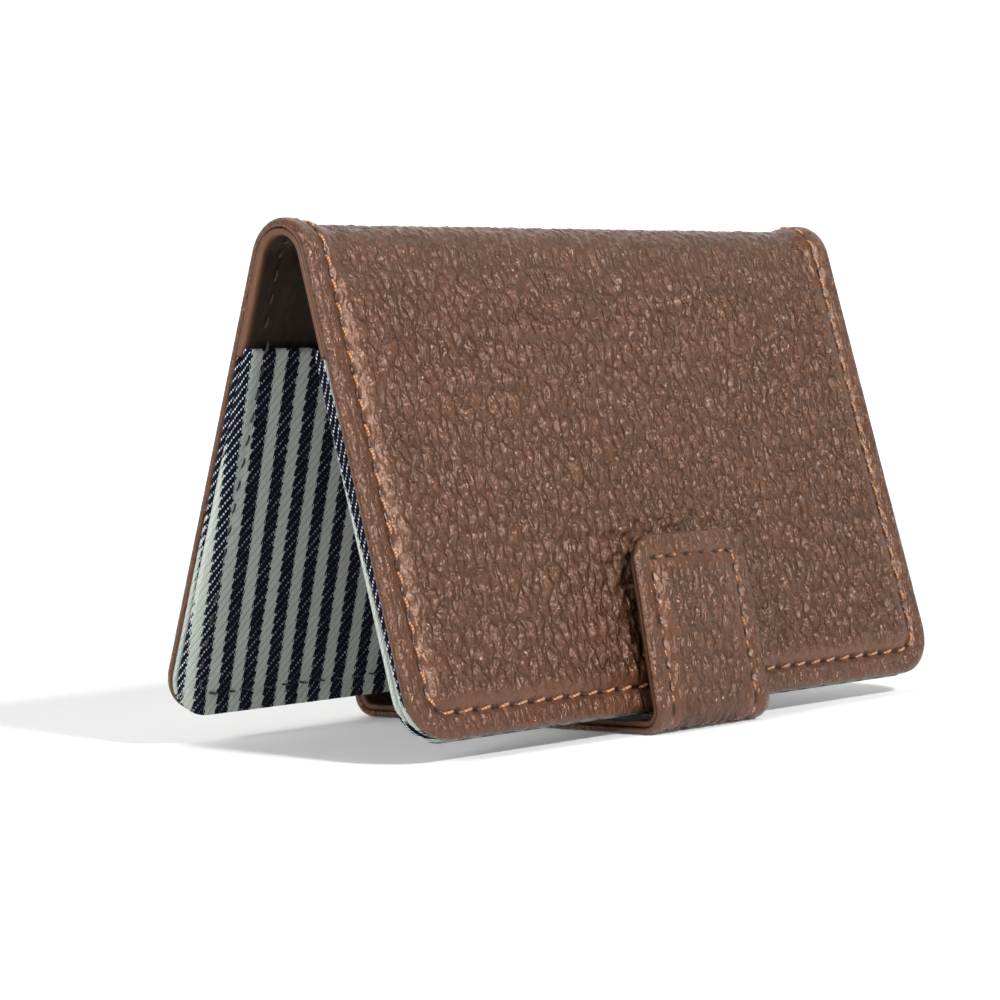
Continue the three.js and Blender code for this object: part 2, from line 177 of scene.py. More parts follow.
class Outline:
    """A strip laid along a route, from start to end, with round corners at its ends.

    Its half width is the side's, less the bite that a corner circle takes, and the distance
    from its edge is the least of those to the sides, the ends and the corner circles."""

    def __init__(self, width, start, end, start_radius=0.0, end_radius=0.0, tip_width=None):
        self.widths = (width, width if tip_width is None else tip_width)
        self.start, self.end = start, end
        self.radii = (start_radius, end_radius)

    def side(self, u):
        return mix(self.widths[0], self.widths[1], (u - self.start) / (self.end - self.start)) / 2

    @staticmethod
    def _bite(radius, inward):
        left = np.clip(radius - inward, 0, radius)
        return radius - np.sqrt(radius**2 - left**2)

    def half_width(self, u):
        bites = self._bite(self.radii[0], u - self.start) + self._bite(self.radii[1], self.end - u)
        return self.side(u) - bites

    def distance(self, x, u):
        across = self.side(u) - np.abs(x)
        nearest = across
        for radius, inward in zip(self.radii, (u - self.start, self.end - u)):
            round_part = (across < radius) & (inward < radius)
            circle = radius - np.hypot(radius - across, radius - inward)
            nearest = np.minimum(nearest, np.where(round_part, circle, np.minimum(across, inward)))
        return np.maximum(nearest, 0)


class Seam:
    """A stitch line at one inset inside an outline, with round corners.

    s runs from the middle of a side, round a corner, to the middle of an end, and the same in
    each quarter, stretched so that a quarter holds a whole number of stitches."""

    def __init__(self, outline, inset, pitch):
        self.middle = (outline.start + outline.end) / 2
        self.reach = (outline.end - outline.start) / 2 - inset
        self.half = outline.side(self.middle) - inset
        self.radius = max(min(outline.radii) - inset, 0.6)
        self.side_run = self.reach - self.radius
        self.corner_run = self.radius * math.pi / 2
        self.quarter = self.side_run + self.corner_run + self.half - self.radius
        self.count = round(self.quarter / pitch)
        self.pitch = self.quarter / self.count

    def place(self, x, u):
        """(stitches along the seam, distance inside it) at places on the outline."""
        across, along = np.abs(x), np.abs(u - self.middle)
        dx, dy = across - (self.half - self.radius), along - self.side_run
        in_corner = (dx > 0) & (dy > 0)
        angle = np.arctan2(np.maximum(dy, 0), np.maximum(dx, 1e-9))
        by_side = self.half - across < self.reach - along
        s = np.where(by_side, along, self.quarter - across)
        s = np.where(in_corner, self.side_run + self.radius * angle, s)
        inside = np.minimum(self.half - across, self.reach - along)
        inside = np.where(in_corner, self.radius - np.hypot(dx, dy), inside)
        return s / self.pitch, inside

    def walk(self, distance, inward=0.0):
        """(x, u) at distances round the whole loop, which goes up the right side first."""
        turn = np.mod(distance, 4 * self.quarter)
        quarter = np.floor(turn / self.quarter).astype(int)
        odd = quarter % 2 == 1
        part = turn - quarter * self.quarter
        s = np.where(odd, self.quarter - part, part)
        angle = np.clip((s - self.side_run) / self.radius, 0, math.pi / 2)
        radius = self.radius - inward
        across = self.half - self.radius + radius * np.cos(angle)
        along = np.minimum(s, self.side_run) + radius * np.sin(angle)
        across -= np.maximum(s - self.side_run - self.corner_run, 0)
        x = across * np.where((quarter == 0) | (quarter == 3), 1, -1)
        u = self.middle + along * np.where(quarter < 2, 1, -1)
        return x, u


def bottom_height(lean, gap):
    return STRAP_THICKNESS + gap + PANEL * math.sin(lean)


FRONT_LEG = FRONT_HEIGHT - FOLD_RADIUS
FOLD_TURN = math.pi - FRONT_LEAN - BACK_LEAN
FRONT_BOTTOM = (
    -FOLD_RADIUS * math.cos(FRONT_LEAN) - FRONT_LEG * math.sin(FRONT_LEAN),
    bottom_height(FRONT_LEAN, FRONT_GAP),
)
FOLD_CENTRE = FRONT_BOTTOM[1] + FRONT_LEG * math.cos(FRONT_LEAN) - FOLD_RADIUS * math.sin(FRONT_LEAN)
BACK_TOP = FOLD_CENTRE + FOLD_RADIUS * math.sin(BACK_LEAN)
BACK_LEG = (BACK_TOP - bottom_height(BACK_LEAN, BACK_GAP)) / math.cos(BACK_LEAN)
cover_route = Route(
    FRONT_BOTTOM,
    math.pi / 2 - FRONT_LEAN,
    [("run", FRONT_LEG, 0), ("bend", FOLD_RADIUS, FOLD_TURN), ("run", BACK_LEG, 0)],
)
FOLD_START = FRONT_LEG
FOLD_END = FRONT_LEG + FOLD_RADIUS * FOLD_TURN
cover_outline = Outline(COVER_WIDTH, 0, cover_route.length, CORNER_RADIUS, CORNER_RADIUS)
cover_seam = Seam(cover_outline, STITCH_INSET, STITCH_PITCH)

# The strap's route, worked out as the solids' is
STRAP_HALF = STRAP_THICKNESS / 2
root_place, root_out = cover_route.at(cover_route.length - STRAP_ROOT)
strap_start = root_place + root_out * (BODY_PUFF + LAYER_GAP + STRAP_HALF)
root_parts = [("run", STRAP_ROOT_FLAT, 0), ("bend", -STRAP_FLARE_BEND, -STRAP_FLARE)]
root_route = Route(strap_start, BACK_LEAN - math.pi / 2, root_parts)
flared, _ = root_route.at(root_route.length)
flared_lean = BACK_LEAN + STRAP_FLARE
tip_lean = FRONT_LEAN - STRAP_OPENING
front_edge, front_out = cover_route.at(0.0)
strap_foot = front_edge + front_out * (STRAP_LIFT + STRAP_HALF)
back_turn = math.pi / 2 + flared_lean
front_turn = math.pi / 2 + tip_lean
back_tangent = STRAP_BACK_BEND * math.tan(back_turn / 2)
front_tangent = STRAP_FRONT_BEND * math.tan(front_turn / 2)
back_corner = flared[0] + (flared[1] - STRAP_HALF) * math.tan(flared_lean)
front_corner = strap_foot[0] - (strap_foot[1] - STRAP_HALF) * math.tan(tip_lean)
flared_run = (flared[1] - STRAP_HALF) / math.cos(flared_lean) - back_tangent
lower_run = back_corner - front_corner - back_tangent - front_tangent
tip_run = (strap_foot[1] - STRAP_HALF) / math.cos(tip_lean) + STRAP_REACH - front_tangent
strap_route = Route(
    strap_start,
    BACK_LEAN - math.pi / 2,
    [
        *root_parts,
        ("run", flared_run, 0),
        ("bend", STRAP_BACK_BEND, back_turn),
        ("run", lower_run, 0),
        ("bend", STRAP_FRONT_BEND, front_turn),
        ("run", tip_run, 0),
    ],
)
STRAP_LENGTH = strap_route.length
FRONT_BEND_END = STRAP_LENGTH - tip_run
FRONT_BEND_START = FRONT_BEND_END - STRAP_FRONT_BEND * front_turn
MAGNET_PLACE = STRAP_LENGTH - (STRAP_REACH - MAGNET_HEIGHT)
MAGNET_BACK_BULGE = MAGNET_THICKNESS + LAYER_GAP - MAGNET_FRONT_BULGE
STRAP_BUMP = (-5.9, STRAP_LENGTH - 10.4)


def strap_outline(inset):
    return Outline(
        STRAP_ROOT_WIDTH - 2 * inset,
        inset,
        STRAP_LENGTH - inset,
        STRAP_ROOT_CORNER,
        STRAP_TIP_CORNER,
        STRAP_TIP_WIDTH - 2 * inset,
    )


strap_seam = Seam(strap_outline(0), STRAP_STITCH_INSET, STRAP_STITCH_PITCH)


def strap_shift(u):
    """The strap is sewn off the middle and wanders sideways from its front bend to its tip."""
    risen = (u - FRONT_BEND_START) / (STRAP_LENGTH - FRONT_BEND_START)
    return STRAP_OFFSET + STRAP_DRIFT * ease(risen)


# The frame's origin is under the middle of the holder, whose ends are the strap's two bends
strap_line, strap_out = strap_route.at(np.linspace(0, STRAP_LENGTH, 4001))
strap_skin = strap_line + strap_out * STRAP_HALF
FOLD_Y = -(strap_skin[:, 0].min() + strap_skin[:, 0].max()) / 2


def to_frame(points):
    """Millimetres about the fold to metres in the frame."""
    return (np.asarray(points) + [0, FOLD_Y, 0]) / 1000


# Meshes
def lay(route, x, u, height):
    """Points at x across, u along and a height over a route."""
    place, out = route.at(u)
    flat = place + out * np.asarray(height)[..., None]
    return np.stack([np.broadcast_to(x, flat.shape[:-1]), flat[..., 0], flat[..., 1]], -1)


def grid_faces(index, flip=False):
    """Quads over a grid of vertex numbers, turned the other way when flip is set."""
    a, b, c, d = index[:-1, :-1], index[:-1, 1:], index[1:, 1:], index[1:, :-1]
    order = (a, d, c, b) if flip else (a, b, c, d)
    return np.stack([each.ravel() for each in order], -1)


def make_object(name, points, faces, material, uvs=()):
    """A mesh object at the origin from points in millimetres, with named UV maps."""
    mesh = bpy.data.meshes.new(name)
    mesh.from_pydata(to_frame(points).tolist(), [], faces)
    mesh.validate()
    corners = np.empty(len(mesh.loops), np.int32)
    mesh.loops.foreach_get("vertex_index", corners)
    for label, values in uvs:
        layer = mesh.uv_layers.new(name=label)
        layer.data.foreach_set("uv", values[corners].astype(np.float32).ravel())
    mesh.polygons.foreach_set("use_smooth", np.full(len(mesh.polygons), True))
    mesh.materials.append(material)
    made = bpy.data.objects.new(name, mesh)
    bpy.context.scene.collection.objects.link(made)
    return made


def shell(route, outline, rows, fine, coarse, outer, inner, facing=1, drift=None):
    """A closed sheet along a route: a fine face and a coarse one, with walls between.

    Across a row the columns are the same insets from both edges with even steps between.
    A face's height over the route is outer(x, u) or inner(x, u). Returns the points, the
    faces and each point's (x, u)."""
    rows = np.asarray(rows)
    half = outline.half_width(rows)[:, None]
    sides = []
    for insets, count in (fine, coarse):
        insets = np.asarray(insets)[None, :]
        left = insets - half
        body = np.linspace(left[:, -1], -left[:, -1], count + 1, axis=1)[:, 1:-1]
        sides.append(np.concatenate([left, body, -left[:, ::-1]], 1))
    fine_x, coarse_x = sides
    fine_u = np.broadcast_to(rows[:, None], fine_x.shape)
    coarse_u = np.broadcast_to(rows[:, None], coarse_x.shape)
    flat = np.concatenate([
        np.stack([fine_x, fine_u], -1).reshape(-1, 2),
        np.stack([coarse_x, coarse_u], -1).reshape(-1, 2),
    ])
    heights = np.concatenate([outer(fine_x, fine_u).ravel(), inner(coarse_x, coarse_u).ravel()])
    across = flat[:, 0] + (0 if drift is None else drift(flat[:, 1]))
    points = lay(route, across, flat[:, 1], heights)
    top = np.arange(fine_x.size).reshape(fine_x.shape)
    under = fine_x.size + np.arange(coarse_x.size).reshape(coarse_x.shape)
    flip = facing < 0
    left_wall = np.stack([under[:, 0], top[:, 0]], 1)
    right_wall = np.stack([top[:, -1], under[:, -1]], 1)
    faces = np.concatenate([
        grid_faces(top, flip),
        grid_faces(under, not flip),
        grid_faces(left_wall, flip),
        grid_faces(right_wall, flip),
    ]).tolist()
    first = [*top[0, ::-1].tolist(), *under[0].tolist()]
    last = [*top[-1].tolist(), *under[-1, ::-1].tolist()]
    faces += [face[::-1] if flip else face for face in (first, last)]
    return points, faces, flat


def steps(start, end, step):
    """Even places from start to end, both included, no further apart than step."""
    return np.linspace(start, end, max(2, math.ceil((end - start) / step - 1e-6) + 1))


def hem_height(distance, rounding, run, inset, dip, spread):
    """A hem's rounded edge, a quarter circle, and its stitched groove, a bell curve."""
    away = np.clip(1 - distance / run, 0, 1)
    edge = rounding * (1 - np.sqrt(1 - away**2))
    return -edge - dip * np.exp(-(((distance - inset) / spread) ** 2))


# Node trees
def node(tree, kind, values=(), **settings):
    """A new node: settings are its own properties, values its inputs' numbers or links."""
    made = tree.nodes.new(kind)
    for name, value in settings.items():
        setattr(made, name, value)
    for key, value in dict(values).items():
        if isinstance(value, bpy.types.NodeSocket):
            tree.links.new(value, made.inputs[key])
        else:
            made.inputs[key].default_value = value
    return made


def maths(tree, operation, *values):
    return node(tree, "ShaderNodeMath", dict(enumerate(values)), operation=operation).outputs[0]


def off_centre(tree, value):
    """How far a value's fraction is from a half, from 0 to 0.5."""
    return maths(tree, "ABSOLUTE", maths(tree, "SUBTRACT", maths(tree, "FRACT", value), 0.5))


def vector(tree, operation, *values):
    made = node(tree, "ShaderNodeVectorMath", dict(enumerate(values)), operation=operation)
    return made.outputs[0]


def ramp(tree, value, low, high, out_low=0.0, out_high=1.0):
    """Smooth step of a value from low to high."""
    made = node(
        tree,
        "ShaderNodeMapRange",
        {0: value, 1: low, 2: high, 3: out_low, 4: out_high},
        interpolation_type="SMOOTHSTEP",
    )
    return made.outputs[0]


def blend(tree, factor, first, second):
    made = node(tree, "ShaderNodeMix", data_type="RGBA")
    for key, value in ((0, factor), (6, first), (7, second)):
        if isinstance(value, bpy.types.NodeSocket):
            tree.links.new(value, made.inputs[key])
        else:
            made.inputs[key].default_value = value
    return made.outputs[2]


def noise(tree, place, scale, detail=2.0, roughness=0.5):
    values = {"Vector": place, "Scale": scale, "Detail": detail, "Roughness": roughness}
    return node(tree, "ShaderNodeTexNoise", values)


def rgb(red, green, blue):
    """A screen colour of 0 to 255 as linear light."""
    def linear(value):
        share = value / 255
        return share / 12.92 if share <= 0.04045 else ((share + 0.055) / 1.055) ** 2.4

    return (linear(red), linear(green), linear(blue), 1.0)


def new_material(name):
    made = bpy.data.materials.new(name)
    made.use_nodes = True
    made.node_tree.nodes.clear()
    return made


def surface(tree, **values):
    """The shader and its output; keywords are its sockets, with _ for a space."""
    named = {name.replace("_", " "): value for name, value in values.items()}
    shader = node(tree, "ShaderNodeBsdfPrincipled", named)
    node(tree, "ShaderNodeOutputMaterial", {"Surface": shader.outputs[0]})


def uv_place(tree, label):
    """A UV map's place in millimetres."""
    source = node(tree, "ShaderNodeUVMap", uv_map=label).outputs[0]
    return vector(tree, "MULTIPLY", source, (1 / UV_SCALE,) * 3)


# Leather grain, shared by the relief of the mesh and the finish of its surface
GRAIN_WIDTH = 1.6
GRAIN_LENGTH = 3.2
# Each size of pebble: how many to a cell, how far its slope reaches in, and its share
GRAIN_SIZES = ((1.0, 0.4, 0.56), (2.0, 0.4, 0.3), (4.1, 0.36, 0.14))
COVER_GRAIN = 0.6
COVER_SWELL = 0.4
COVER_GRAIN_LEVEL = 0.6
STRAP_GRAIN = 0.42
STRAP_SWELL = 0.25
STRAP_GRAIN_LEVEL = 1.0


def grain_height(tree, place):
    """Pebbles of leather from 0 in a crease to 1 on a pebble.

    The place is pushed about by a slow noise and squeezed across, and the height rises
    smoothly with the distance from the edges of three sizes of random cells."""
    push = noise(tree, place, 0.5, 2.0)
    push = vector(tree, "SUBTRACT", push.outputs["Color"], (0.5, 0.5, 0.5))
    push = vector(tree, "MULTIPLY", push, (1.5, 2.2, 0.0))
    pushed = vector(tree, "ADD", place, push)
    cells = vector(tree, "DIVIDE", pushed, (GRAIN_WIDTH, GRAIN_LENGTH, 1.0))
    total = 0.0
    for scale, reach, share in GRAIN_SIZES:
        edge = node(
            tree,
            "ShaderNodeTexVoronoi",
            {"Vector": cells, "Scale": scale, "Randomness": 0.9},
            voronoi_dimensions="2D",
            feature="DISTANCE_TO_EDGE",
        )
        height = ramp(tree, edge.outputs["Distance"], 0.0, reach)
        total = maths(tree, "MULTIPLY_ADD", height, share, total)
    return total


def relief_group(depth, wave, level):
    """Geometry nodes that lift the points of a mesh along its "lift" directions by the grain
    and by a slow swell. The level is the grain height that stays where it is."""
    tree = bpy.data.node_groups.new("grain_relief", "GeometryNodeTree")
    tree.interface.new_socket(name="Geometry", in_out="INPUT", socket_type="NodeSocketGeometry")
    tree.interface.new_socket(name="Geometry", in_out="OUTPUT", socket_type="NodeSocketGeometry")
    source = tree.nodes.new("NodeGroupInput").outputs[0]
    named = {}
    for label in ("place", "lift"):
        reader = node(tree, "GeometryNodeInputNamedAttribute", {"Name": label})
        reader.data_type = "FLOAT_VECTOR"
        named[label] = reader.outputs[0]
    height = maths(tree, "SUBTRACT", grain_height(tree, named["place"]), level)
    height = maths(tree, "MULTIPLY", height, depth / 1000)
    stretched = vector(tree, "MULTIPLY", named["place"], (0.42, 0.26, 0.0))
    swell = maths(tree, "SUBTRACT", noise(tree, stretched, 1.0, 1.0).outputs[0], 0.5)
    total = maths(tree, "MULTIPLY_ADD", swell, wave / 1000, height)
    scaled = node(tree, "ShaderNodeVectorMath", {0: named["lift"]}, operation="SCALE")
    tree.links.new(total, scaled.inputs["Scale"])
    moved = node(tree, "GeometryNodeSetPosition", {"Geometry": source, "Offset": scaled.outputs[0]})
    tree.links.new(moved.outputs[0], tree.nodes.new("NodeGroupOutput").inputs[0])
    return tree


def press_grain(piece, flat, lift, group):
    """Gives the piece its grain: flat is each point's place, lift its direction and share."""
    places = np.concatenate([flat, np.zeros((len(flat), 1))], 1)
    for label, values in (("place", places), ("lift", lift)):
        attribute = piece.data.attributes.new(label, "FLOAT_VECTOR", "POINT")
        attribute.data.foreach_set("vector", values.astype(np.float32).ravel())
    piece.modifiers.new("relief", "NODES").node_group = group
    seen = piece.evaluated_get(bpy.context.evaluated_depsgraph_get())
    pressed = bpy.data.meshes.new_from_object(seen)
    piece.modifiers.clear()
    plain = piece.data
    piece.data = pressed
    bpy.data.meshes.remove(plain)
    for label in ("place", "lift"):
        pressed.attributes.remove(pressed.attributes[label])


def leather_material(name, colours, shine, grain_bump, rim=None):
    """Grained leather: creases darkened as painted shade, so that the pebbles stand paler, slow
    blotches, and needle pits in the gaps of its seam darkened as painted shade. The grain fades
    beside the seam and on the hem. The outer part of the hem may have its own rim colour."""
    dark, body, pale = colours
    made = new_material(name)
    tree = made.node_tree
    place = uv_place(tree, "flat")
    seam = node(tree, "ShaderNodeSeparateXYZ", {0: uv_place(tree, "seam")}).outputs
    grain = grain_height(tree, place)
    blotch = noise(tree, place, 0.16, 3.0).outputs[0]
    speck = noise(tree, place, 3.2, 3.0, 0.65).outputs[0]
    inside = ramp(tree, seam[1], 0.2, 3.0, 0.2, 1.0)
    hem = ramp(tree, seam[1], -0.9, -0.2, 0.7, 0.0)
    share = maths(tree, "MAXIMUM", inside, hem)
    tone = blend(tree, ramp(tree, blotch, 0.3, 0.7), body, pale)
    tone = blend(tree, maths(tree, "MULTIPLY", ramp(tree, speck, 0.35, 0.75), 0.3), tone, pale)
    # The creases are darkened towards the dark colour as painted shade.
    shade = maths(tree, "MULTIPLY", maths(tree, "SUBTRACT", 1.0, grain), share)
    colour = blend(tree, maths(tree, "MULTIPLY", shade, 0.65), tone, dark)
    if rim is not None:
        # The rim keeps the leather's own brown beside the painted shade of the darker colours.
        colour = blend(tree, ramp(tree, seam[1], -2.75, -1.9), rim, colour)
    # The gaps of the seam get a near-black colour as painted shade in the needle holes.
    gap_half = 0.5 - STITCH_SHARE / 2
    along = ramp(tree, off_centre(tree, seam[0]), gap_half - 0.04, gap_half + 0.05, 1.0, 0.0)
    across = ramp(tree, maths(tree, "ABSOLUTE", seam[1]), 0.14, 0.36, 1.0, 0.0)
    pit = maths(tree, "MULTIPLY", along, across)
    colour = blend(tree, maths(tree, "MULTIPLY", pit, 0.95), colour, rgb(24, 13, 8))
    fine = maths(tree, "MULTIPLY", speck, 0.25)
    relief = maths(tree, "MULTIPLY_ADD", maths(tree, "MULTIPLY", grain, share), 1.0, fine)
    bump = node(tree, "ShaderNodeBump", {"Height": relief, "Strength": 1.0, "Distance": grain_bump / 1000})
    rough = maths(tree, "MULTIPLY_ADD", grain, -0.12, shine)
    rough = maths(tree, "MULTIPLY_ADD", speck, 0.12, rough)
    surface(
        tree, Base_Color=colour, Roughness=rough, Normal=bump.outputs[0],
        Specular_IOR_Level=0.72, Specular_Tint=(1.0, 0.74, 0.62, 1.0),
    )
    return made


COVER_COLOURS = (rgb(38, 21, 12), rgb(80, 48, 29), rgb(93, 57, 36))
# The lining's colours, also on the strap's backing, are darkened nearly to black as painted shade of the
# fold's inside.
SHADED_LINING_COLOURS = (rgb(14, 9, 8), rgb(32, 21, 18), rgb(42, 28, 23))
cover_leather = leather_material("leather_brown", COVER_COLOURS, 0.29, 0.3)
lining_leather = leather_material("leather_lining", SHADED_LINING_COLOURS, 0.5, 0.06, rgb(88, 55, 35))


def thread_material(name, colour, shadow):
    """Twisted thread: slanting ridges along its own UV map."""
    made = new_material(name)
    tree = made.node_tree
    parts = node(tree, "ShaderNodeSeparateXYZ", {0: uv_place(tree, "flat")}).outputs
    round_turn = maths(tree, "MULTIPLY", parts[1], 12.5664)
    twist = maths(tree, "ADD", maths(tree, "MULTIPLY", parts[0], 18.0), round_turn)
    ridge = maths(tree, "MULTIPLY_ADD", maths(tree, "SINE", twist), 0.5, 0.5)
    tone = blend(tree, ridge, shadow, colour)
    bump = node(tree, "ShaderNodeBump", {"Height": ridge, "Strength": 1.0, "Distance": 0.00006})
    surface(tree, Base_Color=tone, Roughness=0.55, Normal=bump.outputs[0], Sheen_Weight=0.3)
    return made


tan_thread = thread_material("thread_tan", rgb(204, 152, 108), rgb(128, 80, 48))
# The thread inside, on the lining and the pockets, is a brown thread darkened further as painted shade.
dark_thread = thread_material("thread_dark", rgb(58, 32, 22), rgb(30, 16, 12))


WARP_PITCH = 0.3
WEFT_PITCH = 0.36
# Slant and phase of the stripes on a flap's backing and on its face
STRIPES = {
    "front": ((0.05, -47.6), (0.05, -48.7)),
    "back": ((0.04, -47.2), (0.083, -41.43)),
}


def cloth_material():
    """Twill ticking. The stripe is a step of the place across, moved along in the weave's own
    steps. A weft thread shows where its warp and weft numbers add up to a multiple of four,
    which draws the pale dots on the navy and the slanting ribs on the grey."""
    made = new_material("striped_cloth")
    tree = made.node_tree
    place = node(tree, "ShaderNodeSeparateXYZ", {0: uv_place(tree, "flat")}).outputs
    stripe = node(tree, "ShaderNodeSeparateXYZ", {0: uv_place(tree, "stripe")}).outputs
    wave = noise(tree, uv_place(tree, "flat"), 0.8, 2.0).outputs[0]
    warp = maths(tree, "DIVIDE", stripe[1], WARP_PITCH)
    weft = maths(tree, "DIVIDE", maths(tree, "MULTIPLY_ADD", wave, 0.3, place[1]), WEFT_PITCH)
    across, along = off_centre(tree, warp), off_centre(tree, weft)
    number = maths(tree, "ADD", maths(tree, "FLOOR", warp), maths(tree, "FLOOR", weft))
    step = maths(tree, "MODULO", maths(tree, "ADD", number, 4000.0), 4.0)
    from_one = maths(tree, "ABSOLUTE", maths(tree, "SUBTRACT", step, 1.0))
    float_over = maths(tree, "LESS_THAN", from_one, 0.5)
    dot = [ramp(tree, place_in_thread, 0.28, 0.46, 1.0, 0.0) for place_in_thread in (across, along)]
    shown = maths(tree, "MULTIPLY", maths(tree, "MULTIPLY", *dot), float_over)
    drift = maths(tree, "MULTIPLY", wave, 0.35)
    jag = maths(tree, "MULTIPLY_ADD", maths(tree, "SUBTRACT", step, 1.5), 0.09, drift)
    turn = maths(tree, "DIVIDE", maths(tree, "ADD", stripe[0], jag), STRIPE_PERIOD)
    light = ramp(tree, off_centre(tree, turn), LIGHT_SHARE / 2 - 0.012, LIGHT_SHARE / 2 + 0.012, 1.0, 0.0)
    tint = noise(tree, uv_place(tree, "flat"), 0.5, 3.0).outputs[0]
    grey = blend(tree, tint, rgb(178, 186, 179), rgb(198, 202, 194))
    navy = blend(tree, tint, rgb(6, 7, 17), rgb(11, 14, 34))
    ground = blend(tree, light, navy, grey)
    weft_grey = blend(tree, light, rgb(206, 214, 226), rgb(176, 184, 178))
    # The pale dots are brighter in slow random patches and near the side edges.
    patches = noise(tree, uv_place(tree, "flat"), 0.45, 1.0).outputs[0]
    dot_patches = ramp(tree, patches, 0.45, 0.65, 0.12, 0.5)
    edge = ramp(tree, maths(tree, "ABSOLUTE", place[0]), 43.0, 45.0)
    bright = maths(tree, "MAXIMUM", dot_patches, edge)
    colour = blend(tree, maths(tree, "MULTIPLY", shown, bright), ground, weft_grey)
    rib = off_centre(tree, maths(tree, "DIVIDE", maths(tree, "ADD", warp, weft), 4.0))
    fall = maths(tree, "MULTIPLY", maths(tree, "MULTIPLY", across, across), 2.0)
    thread = maths(tree, "SUBTRACT", 1.0, fall)
    ribbed = maths(tree, "MULTIPLY_ADD", rib, -1.2, thread)
    relief = maths(tree, "ADD", ribbed, maths(tree, "MULTIPLY", shown, 0.5))
    # The grooves between the twill's ribs are darkened as painted shade.
    groove = ramp(tree, rib, 0.28, 0.5, 0.0, 0.35)
    colour = blend(tree, groove, colour, rgb(24, 26, 32))
    bump = node(tree, "ShaderNodeBump", {"Height": relief, "Strength": 1.0, "Distance": 0.00009})
    surface(tree, Base_Color=colour, Roughness=0.9, Normal=bump.outputs[0], Specular_IOR_Level=0.12)
    return made


striped_cloth = cloth_material()


def plain_material(name, dark, pale, roughness, metallic, scale, bump_depth):
    """A mottled plain finish on Object coordinates, for foam, board and metal."""
    made = new_material(name)
    tree = made.node_tree
    place = node(tree, "ShaderNodeTexCoord").outputs["Object"]
    mottle = noise(tree, place, scale, 4.0, 0.6).outputs[0]
    tone = blend(tree, mottle, dark, pale)
    bump = node(tree, "ShaderNodeBump", {"Height": mottle, "Strength": 1.0, "Distance": bump_depth / 1000})
    surface(tree, Base_Color=tone, Roughness=roughness, Metallic=metallic, Normal=bump.outputs[0])
    return made


foam = plain_material("adhesive_foam", rgb(196, 196, 190), rgb(224, 224, 218), 0.75, 0.0, 2600.0, 0.05)
board = plain_material("board", rgb(120, 114, 104), rgb(150, 144, 132), 0.85, 0.0, 900.0, 0.04)
metal = plain_material("magnet_metal", rgb(150, 150, 154), rgb(186, 186, 190), 0.35, 1.0, 700.0, 0.01)


def place_uvs(flat, seam=None):
    """UV maps of a place in millimetres and, where there is a seam, of the place by it."""
    maps = [("flat", flat * UV_SCALE)]
    if seam is not None:
        stitches, inside = seam.place(flat[:, 0], flat[:, 1])
        maps.append(("seam", np.stack([stitches, np.clip(inside, -6, 20)], -1) * UV_SCALE))
    return maps


def needle_pits(stitches, inside, depth):
    """Dimples between stitches: a bell across the seam times a smooth box along it."""
    gap = np.abs(np.mod(stitches, 1) - 0.5)
    along = 1 - ease((gap - (0.5 - STITCH_SHARE / 2) + 0.06) / 0.12)
    return depth * along * np.exp(-((inside / 0.3) ** 2))


# Leather cover
def fold_share(u):
    away = np.maximum(np.maximum(FOLD_START - u, u - FOLD_END), 0)
    return 1 - ease(away / FOLD_EASE)


def body_share(distance):
    return ease((distance - STITCH_INSET) / BODY_RUN)


def cover_face(x, u):
    distance = cover_outline.distance(x, u)
    body = mix(BODY_PUFF, -FOLD_SINK, fold_share(u))
    hem = hem_height(distance, 0.75, 0.9, STITCH_INSET, 0.3, 0.8)
    stitches, inside = cover_seam.place(x, u)
    return hem + body * body_share(distance) - needle_pits(stitches, inside, 0.3)


def cover_underside(x, u):
    share = body_share(cover_outline.distance(x, u))
    body = mix(BODY_PUFF, -FOLD_SINK, fold_share(u))
    return mix(-HEM, body - COVER_LEATHER, share)


EDGE_INSETS = [0, 0.04, 0.1, 0.18, 0.28, 0.4, 0.54, 0.7, 0.9]
SEAM_ZONE = 0.8
RIM_STEP = 0.32
SEAM_STEP = 0.18
COVER_RIM = 7.0
FRONT_ROW_STEP = 0.39
FOLD_ROW_STEP = 0.4
BACK_ROW_STEP = 0.66
COVER_COLUMN_STEP = 0.385
STRAP_RIM = 4.4
STRAP_ROW_STEP = 0.36


def rim_insets(stitch, last):
    """Insets from an edge: close together on its rounding and beside its seam."""
    return np.concatenate([
        EDGE_INSETS,
        steps(EDGE_INSETS[-1], stitch - SEAM_ZONE, RIM_STEP)[1:],
        steps(stitch - SEAM_ZONE, stitch + SEAM_ZONE, SEAM_STEP)[1:],
        steps(stitch + SEAM_ZONE, last, RIM_STEP)[1:],
    ])


def lift_directions(route, flat, share):
    """Outward directions along a route, scaled by each point's share of the relief."""
    _, out = route.at(flat[:, 1])
    return np.stack([np.zeros(len(flat)), out[:, 0], out[:, 1]], -1) * share[:, None]


